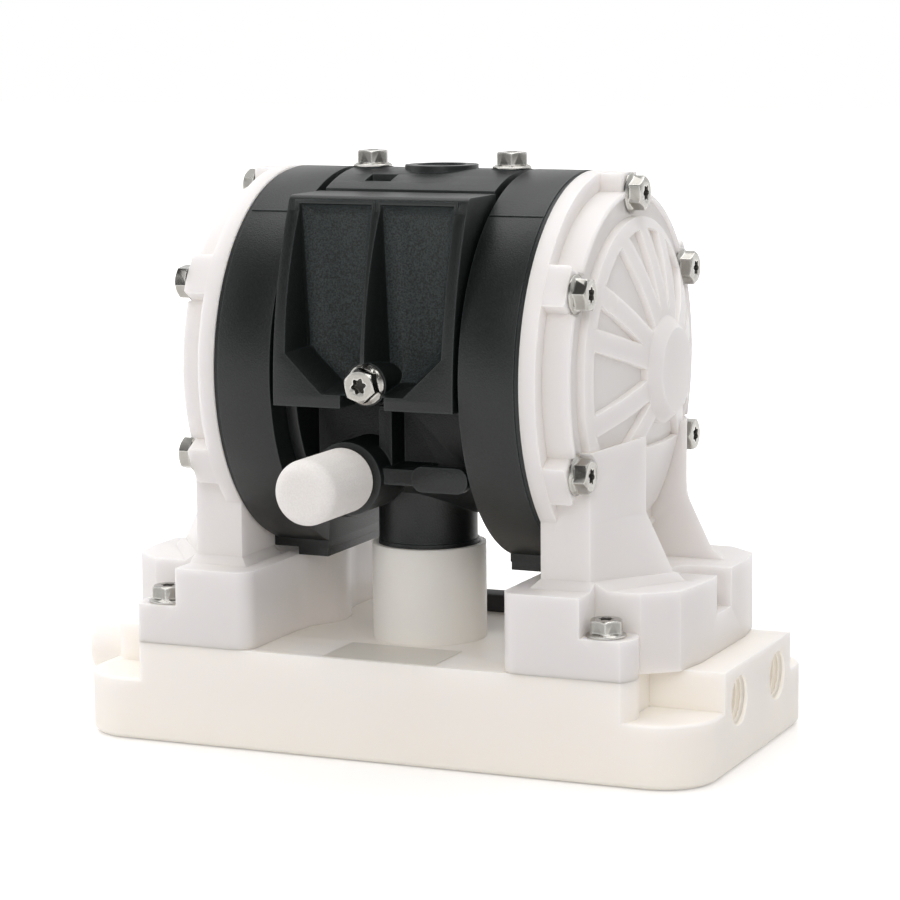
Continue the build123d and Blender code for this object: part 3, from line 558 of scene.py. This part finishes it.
bearing_bronze = finish("bearing_bronze", (0.55, 0.36, 0.16), (0.46, 0.29, 0.12),
                        (0.75, 0.55, 0.3), 0.32, 0.006, 0.4, 8, metal=1.0)
white_acetal = finish("white_acetal", (0.80, 0.79, 0.76), (0.76, 0.75, 0.71), (0.88, 0.87, 0.85),
                      0.38, 0.006, 0.6, 12, subsurface=0.2)
grey_valve = finish("grey_valve", (0.10, 0.105, 0.11), (0.13, 0.135, 0.14), (0.2, 0.2, 0.21),
                    0.45, 0.02, 0.5, 14)
diaphragm_rubber = finish("diaphragm_rubber", (0.035, 0.035, 0.038), (0.05, 0.05, 0.053),
                          (0.08, 0.08, 0.085), 0.62, 0.04, 0.35, 16)
print("finishes:", len(bpy.data.materials))

# %% Give the carried-over inner pieces their finish
slot_finish = {
    "base": cream_base, "covers": milky_cover, "black": black_nylon, "stainless": stainless,
    "silencer": porous_white, "rubber": black_rubber, "diaphragm": diaphragm_rubber,
    "aluminium": machined_aluminium, "acetal": white_acetal, "bronze": bearing_bronze,
    "grey_plastic": grey_valve,
}
slot_of = {row["node"]: row["material_slot"] for row in frame["record"]["subparts"]}
for name, piece in nodes.items():
    piece.data.materials.clear()
    piece.data.materials.append(slot_finish[slot_of[name]])
    for polygon in piece.data.polygons:
        polygon.material_index = 0

# %% [markdown]
# ## The mouldings
# The housing, rings, covers and base have the right shape already. A mould leaves no knife edge, so
# each gets a copy with every edge rounded, which catches the light as the real one does. All sizes
# below are in millimetres.

# %% The dome of a fluid cover
axis_z = 100.9
dome_r = 39.8
dome_x = 56.1
dome_swell = 1.0
dish_r = 14.15
dish_x = 63.7


def rib_top(radius):
    """How far out the rib tops stand at a radius from the shaft axis."""
    share = (dome_r - radius) / (dome_r - dish_r)
    return dome_x + share * (dish_x - dome_x) + 4 * dome_swell * share * (1 - share)


# %% The thin floors between the ribs
floor_from_r = 11
floor_to_r = 37
floor_from_x = 48
floor_from_z = 70
below_rib_top = 1.0
facing_out = 0.3


def thin_floors_shaded(piece):
    """The floors between the ribs are thinner than the ribs and get a slightly greyer finish, painted
    shade for the dark inside.
    """
    piece.data.materials.append(milky_thin_shade)
    for polygon in piece.data.polygons:
        x, y, z = polygon.center / mm
        radius = math.hypot(y, z - axis_z)
        outside = abs(polygon.normal.x) > facing_out and polygon.normal.x * x > 0
        between = floor_from_r < radius < floor_to_r and z > floor_from_z
        if between and floor_from_x < abs(x) < rib_top(radius) - below_rib_top and outside:
            polygon.material_index = 1


# %% The walls of the two ports
port_r = 6.58
port_places = ((-15.95, 17.6), (15.95, 17.6))
base_end = 89.65
port_depth = 60
port_rim = 0.3


def ports_painted_light(piece):
    """Their walls get the brightest finish and a glow, painted light for what comes through the base.
    """
    piece.data.materials.append(port_cream_lit)
    for polygon in piece.data.polygons:
        x, y, z = polygon.center / mm
        near = min(math.hypot(y - port_y, z - port_z) for port_y, port_z in port_places)
        if near < port_r + 0.1 and base_end - port_depth < x < base_end - port_rim:
            polygon.material_index = 1


# %% The sunk panels of the valve lid
panel_floor = -38.05
panel_corners = ((2.0, 144.6), (21.0, 144.6), (19.2, 108.6), (10.3, 100.2), (3.7, 100.2))
panel_half_width = 21
panel_front, panel_back = -42, -36
panel_bottom, panel_top = 98, 145
facing_front = -0.4


def grained_panels(piece):
    """The mould of the valve lid is sparked coarser in its sunk panels."""
    piece.data.materials.append(grained_nylon)
    for polygon in piece.data.polygons:
        x, y, z = polygon.center / mm
        in_height = panel_bottom < z < panel_top
        in_depth = panel_front < y < panel_back
        if abs(x) < panel_half_width and in_depth and in_height and polygon.normal.y < facing_front:
            polygon.material_index = 1


# %% Coves along the walls of the sunk panels
cove_r = 4.2
cove_sink = 1.0
cove_steps = 6
wall_draft = math.tan(math.radians(12))


def inset(corners, by):
    """The corners of a convex outline, given clockwise as x and z, moved in by a distance."""
    moved = []
    for index, corner in enumerate(corners):
        here = Vector(corner)
        before = (here - Vector(corners[index - 1])).normalized()
        after = (Vector(corners[(index + 1) % len(corners)]) - here).normalized()
        inward = Vector((before.y, -before.x)) + Vector((after.y, -after.x))
        moved.append(here + inward * by / (1 + before.dot(after)))
    return moved


def cove_section():
    """The outline of a cove: how far in from the wall, and how high over the floor."""
    section = []
    for step in range(cove_steps + 1):
        angle = math.radians(90 / cove_steps * step)
        height = cove_r * (1 - math.cos(angle))
        section.append((cove_r * (1 - math.sin(angle)) - height * wall_draft, height))
    behind_wall = -cove_sink - cove_r * wall_draft
    return section + [(behind_wall, cove_r), (-cove_sink, -cove_sink), (cove_r, -cove_sink)]


def cove(side):
    """A ring that fills the corner between the floor of a panel and its walls with a hollow curve."""
    points = []
    section = cove_section()
    for by, height in section:
        y = (panel_floor - height) * mm
        points += [(side * x * mm, y, z * mm) for x, z in inset(panel_corners, by)]
    count = len(panel_corners)
    faces = []
    for ring in range(len(section)):
        this = ring * count
        following = (ring + 1) % len(section) * count
        for index in range(count):
            after = (index + 1) % count
            faces.append((this + index, this + after, following + after, following + index))
    mesh = bpy.data.meshes.new("cove")
    mesh.from_pydata(points, [], faces)
    piece = bpy.data.objects.new("cove", mesh)
    bpy.context.scene.collection.objects.link(piece)
    face_outwards(piece)
    return piece


# %% Mouldings with rounded edges
mouldings = [
    ("base_manifold", "manifold_moulding", 0.7, cream_base, "base"),
    ("fluid_cover_right", "dish_cover_right", 0.7, milky_cover, "covers"),
    ("fluid_cover_left", "dish_cover_left", 0.7, milky_cover, "covers"),
    ("air_cover_right", "ring_right", 0.5, black_nylon, "black"),
    ("air_cover_left", "ring_left", 0.5, black_nylon, "black"),
    ("centre_housing", "housing_shell", 0.45, black_nylon, "black"),
    ("top_cap", "saddle", 0.5, black_nylon, "black"),
    ("valve_cover", "valve_lid", 0.6, black_nylon, "black"),
    ("exhaust_silencer", "silencer_sleeve", 0.3, porous_white, "silencer"),
    ("rear_block", "low_block", 0.8, black_rubber, "rubber"),
]
for node, name, edge, material, slot in mouldings:
    piece = copy_of(node, name)
    if name == "valve_lid":
        for side in (-1, 1):
            cut(piece, cove(side), "UNION")
    round_edges(piece, edge * mm)
    finish_piece(piece, "pump", material, slot, node)
    if material is milky_cover:
        thin_floors_shaded(piece)
    if name == "valve_lid":
        grained_panels(piece)
    if name == "manifold_moulding":
        ports_painted_light(piece)
    print(name, len(piece.data.polygons), "faces")

# %% [markdown]
# ## The screws
# Stainless screws hold the covers: a hexagon with a turned chamfer on a round flange, and a six-lobed
# recess in the end. One is modelled and then copied to every place.

# %% Sizes of a screw
flange_r = 5.25
flange_t = 0.9
across_flats = 7.94
head_h = 4.5
chamfer_r = across_flats * 0.475
chamfer_run = 9.0
chamfer_drop = 5.2
lobe_out = 2.15
lobe_in = 1.55
lobe_depth = 2.0


# %% One screw head
def hexagon_head():
    """The hexagon. Its turned chamfer comes from a wide cone that trims only the corners."""
    bpy.ops.object.select_all(action="DESELECT")
    bpy.ops.mesh.primitive_cylinder_add(vertices=6, radius=across_flats / math.sqrt(3) * mm,
                                        depth=head_h * mm, location=(0, 0, head_h / 2 * mm))
    head = bpy.context.object
    bpy.ops.object.select_all(action="DESELECT")
    bpy.ops.mesh.primitive_cone_add(vertices=72, radius1=(chamfer_r + chamfer_run) * mm,
                                    radius2=chamfer_r * mm, depth=chamfer_drop * mm,
                                    location=(0, 0, (head_h - chamfer_drop / 2) * mm))
    cut(head, bpy.context.object, "INTERSECT")
    return head


def flange_washer():
    """The flange: a flat skirt with a slope that runs up to the hexagon."""
    slope_top = flange_t + 0.35
    profile = [(0, 0), (flange_r - 0.1, 0), (flange_r, 0.15), (flange_r, 0.55),
               (flange_r - 0.25, flange_t - 0.15), (across_flats / 2 + 0.2, slope_top), (0, slope_top)]
    mesh = bpy.data.meshes.new("flange")
    points = [(r * mm, 0, z * mm) for r, z in profile]
    mesh.from_pydata(points, [(i, i + 1) for i in range(len(points) - 1)], [])
    flange = bpy.data.objects.new("flange", mesh)
    bpy.context.scene.collection.objects.link(flange)
    only(flange)
    bpy.ops.object.mode_set(mode="EDIT")
    bpy.ops.mesh.select_all(action="SELECT")
    bpy.ops.mesh.spin(steps=64, angle=math.tau, center=(0, 0, 0), axis=(0, 0, 1))
    bpy.ops.mesh.select_all(action="SELECT")
    bpy.ops.mesh.remove_doubles(threshold=0.001 * mm)
    face_outwards(flange)
    return flange


def lobe_tool():
    """The tool for the recess: a round peg whose wall swings in and out six times."""
    bpy.ops.object.select_all(action="DESELECT")
    bpy.ops.mesh.primitive_cylinder_add(vertices=72, radius=lobe_out * mm, depth=lobe_depth * 2 * mm,
                                        location=(0, 0, head_h * mm))
    tool = bpy.context.object
    middle = (lobe_out + lobe_in) / 2
    swing = (lobe_out - lobe_in) / 2
    for vertex in tool.data.vertices:
        angle = math.atan2(vertex.co.y, vertex.co.x)
        radius = middle + swing * math.cos(6 * angle)
        vertex.co.x = radius * mm * math.cos(angle)
        vertex.co.y = radius * mm * math.sin(angle)
    return tool


screw = hexagon_head()
cut(screw, flange_washer(), "UNION")
cut(screw, lobe_tool())
round_edges(screw, 0.12 * mm, angle=24)
settle(screw)
screw.name = "screw_model"
print("one screw:", len(screw.data.polygons), "faces")

# %% The recess of a screw gets a painted shadow inside
shadow_below = head_h - 0.35
screw.data.materials.append(stainless)
screw.data.materials.append(socket_shadow)
for polygon in screw.data.polygons:
    x, y, z = polygon.center / mm
    if math.hypot(x, y) < lobe_out + 0.02 and z < shadow_below:
        polygon.material_index = 1

# %% Where the screws sit
ring_r = 51.7
circle_r = 46.0
rim_seat_x = 53.65
foot_seat_z = 37.6
foot_places = ((62.85, -42.125), (71.25, 0.0), (62.85, 42.125))
saddle_place = (20.35, 0, axis_z + ring_r)
lid_place = (0, -49.55, 100.0)


# %% Copies at every place
def set_screw(name, place, direction, node, turn=0.0):
    """Copies the screw to a place, with its head towards a direction and turned about its axis."""
    piece = bpy.data.objects.new(name, screw.data.copy())
    bpy.context.scene.collection.objects.link(piece)
    aimed = Vector(direction).to_track_quat("Z", "Y").to_matrix().to_4x4()
    piece.matrix_world = Matrix.Translation(Vector(place) * mm) @ aimed @ Matrix.Rotation(turn, 4, "Z")
    settle(piece)
    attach(piece, "pump")
    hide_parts(node)


# Screws never all stop at one angle, so each on a side has a turn of its own, in radians
for side, word in ((1, "right"), (-1, "left")):
    for index in range(6):
        angle = math.radians(90 + 60 * index)
        place = (side * rim_seat_x, circle_r * math.cos(angle), axis_z + circle_r * math.sin(angle))
        set_screw(f"rim_screw_{word}_{index + 1}", place, (side, 0, 0), "rim_bolts", 0.4 * index)
    for index, (x, y) in enumerate(foot_places):
        set_screw(f"foot_screw_{word}_{index + 1}", (side * x, y, foot_seat_z), (0, 0, 1), "foot_bolts",
                  0.3 + 0.5 * index)
    x, y, z = saddle_place
    set_screw(f"saddle_screw_{word}", (side * x, y, z), (0, 0, 1), "top_bolts", 0.35)
set_screw("lid_screw", lid_place, (0, -1, 0), "valve_cover_bolt", 0.2)
bpy.data.objects.remove(screw, do_unlink=True)

# %% [markdown]
# ## The plate on the base
# A bare foil plate lies on the base in front of the socket. Foil is never quite flat, so it is a thin
# sheet with a soft swell.

# %% Foil plate
plate_place = (0.9, -37.5, 27.22)
plate_width = 31.9
plate_depth = 19.1
foil_t = 0.12
foil_swell = 0.03
bpy.ops.object.select_all(action="DESELECT")
bpy.ops.mesh.primitive_grid_add(x_subdivisions=36, y_subdivisions=22, size=1,
                                location=[v * mm for v in plate_place])
plate = bpy.context.object
plate.name = "foil_plate"
plate.scale = (plate_width * mm, plate_depth * mm, 1)
settle(plate)
for vertex in plate.data.vertices:
    x, y = vertex.co.x / mm, vertex.co.y / mm
    vertex.co.z += foil_swell * (1 + math.sin(x * 0.35 + 1) * math.cos(y * 0.5)) * mm
thick = plate.modifiers.new("thick", "SOLIDIFY")
thick.thickness = foil_t * mm
apply_modifiers(plate)
bpy.ops.object.shade_smooth_by_angle(angle=smooth_below)
finish_piece(plate, "pump", foil, "stainless")

# %% [markdown]
# ## Pipe threads
# The air inlet and the two ports have a quarter inch pipe thread. One tooth is drawn as a closed
# outline and wound up by a Screw modifier. Its back lies inside the wall of the hole.

# %% Threads in the three ports
thread_pitch = 1.337
thread_depth = 0.72
thread_back = 0.2
thread_start = 0.2


def pipe_thread(name, mouth, outward, turns, material, slot):
    """A thread that starts at the mouth of a hole and runs inwards for a number of turns."""
    back_r = port_r + thread_back
    tooth = [(back_r, 0), (back_r, thread_pitch), (port_r, thread_pitch),
             (port_r - thread_depth, thread_pitch / 2), (port_r, 0)]
    edges = [(i, (i + 1) % len(tooth)) for i in range(len(tooth))]
    mesh = bpy.data.meshes.new(name)
    mesh.from_pydata([(r * mm, 0, z * mm) for r, z in tooth], edges, [])
    piece = bpy.data.objects.new(name, mesh)
    bpy.context.scene.collection.objects.link(piece)
    coil = piece.modifiers.new("coil", "SCREW")
    coil.axis = "Z"
    coil.screw_offset = thread_pitch * mm
    coil.iterations = turns
    coil.steps = 40
    coil.render_steps = 40
    apply_modifiers(piece)
    inward = -Vector(outward)
    start = Vector(mouth) * mm + inward * thread_start * mm
    piece.matrix_world = Matrix.Translation(start) @ inward.to_track_quat("Z", "Y").to_matrix().to_4x4()
    settle(piece)
    face_outwards(piece)
    bpy.ops.object.shade_smooth_by_angle(angle=smooth_below)
    finish_piece(piece, "pump", material, slot)


pipe_thread("inlet_thread", (0, 0, 153.5), (0, 0, 1), 5, black_nylon, "black")
# The port threads share the painted light of the port walls
for word, (y, z) in zip(("outlet", "suction"), port_places):
    pipe_thread(f"{word}_thread", (base_end, y, z), (1, 0, 0), 8, port_cream_lit, "base")

# %% [markdown]
# ## Parting lines
# Each ring is moulded in a split tool, which leaves a fine raised line along it, front and back.

# %% Seams on the rings
seam_size = (14.9, 0.45, 0.5)
seam_x = 34.15
seam_angle = math.radians(53.5)
for side, word in ((1, "right"), (-1, "left")):
    for front, end in ((-1, "front"), (1, "back")):
        bpy.ops.object.select_all(action="DESELECT")
        bpy.ops.mesh.primitive_cube_add(size=1)
        seam = bpy.context.object
        seam.name = f"seam_{word}_{end}"
        seam.scale = [v * mm for v in seam_size]
        seam.rotation_euler.x = front * (seam_angle - math.pi / 2)
        seam.location = (side * seam_x * mm, front * ring_r * math.cos(seam_angle) * mm,
                         (axis_z + ring_r * math.sin(seam_angle)) * mm)
        settle(seam)
        round_edges(seam, 0.12 * mm)
        finish_piece(seam, "pump", black_nylon, "black")

# %% [markdown]
# ## The springs of the outlet valves
# A light spring holds each outlet ball on its seat. A solid that only moves would run into the ball.
# Here each spring is a smooth-shaded copy of the CAD spring, with a mesh of its own.

# %% Copies of the springs
for side in ("left", "right"):
    coil = copy_of(f"outlet_spring_{side}", f"valve_spring_{side}")
    bpy.ops.object.shade_smooth_by_angle(angle=smooth_below)
    finish_piece(coil, "pump", bright_steel, "stainless", f"outlet_spring_{side}")
    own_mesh(coil)

# %% [markdown]
# ## The diaphragms
# Each diaphragm is a rubber disc. Its rim is clamped between the covers, its middle is clamped between
# the two plates and goes with the shaft, and the fold between them rolls. So the rim and the outer
# half of the fold are one piece, and the middle, inside the crest of the fold, is another.

# %% Diaphragms cut in two at the crest of the fold
crest_r = 31.5
cutter_x = 43
cutter_depth = 30
for side, word in ((1, "right"), (-1, "left")):
    for part, operation in (("rim", "DIFFERENCE"), ("middle", "INTERSECT")):
        rubber = copy_of(f"diaphragm_{word}", f"diaphragm_{part}_{word}")
        bpy.ops.object.select_all(action="DESELECT")
        bpy.ops.mesh.primitive_cylinder_add(vertices=180, radius=crest_r * mm, depth=cutter_depth * mm,
                                            location=(side * cutter_x * mm, 0, axis_z * mm),
                                            rotation=(0, math.pi / 2, 0))
        cut(rubber, bpy.context.object, operation)
        bpy.ops.object.shade_smooth_by_angle(angle=smooth_below)
        if part == "rim":
            finish_piece(rubber, "pump", diaphragm_rubber, "diaphragm", f"diaphragm_{word}")
        else:
            rubber.data.materials.clear()
            rubber.data.materials.append(diaphragm_rubber)
            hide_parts(f"diaphragm_{word}")
            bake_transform(rubber)
        print(rubber.name, len(rubber.data.polygons), "faces")

# %% Compare the boxes and finish
visual_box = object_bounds()
growth = [*(cad_box[0] - visual_box[0]), *(visual_box[1] - cad_box[1])]
print("grows by mm:", [round(v / mm, 2) for v in growth])
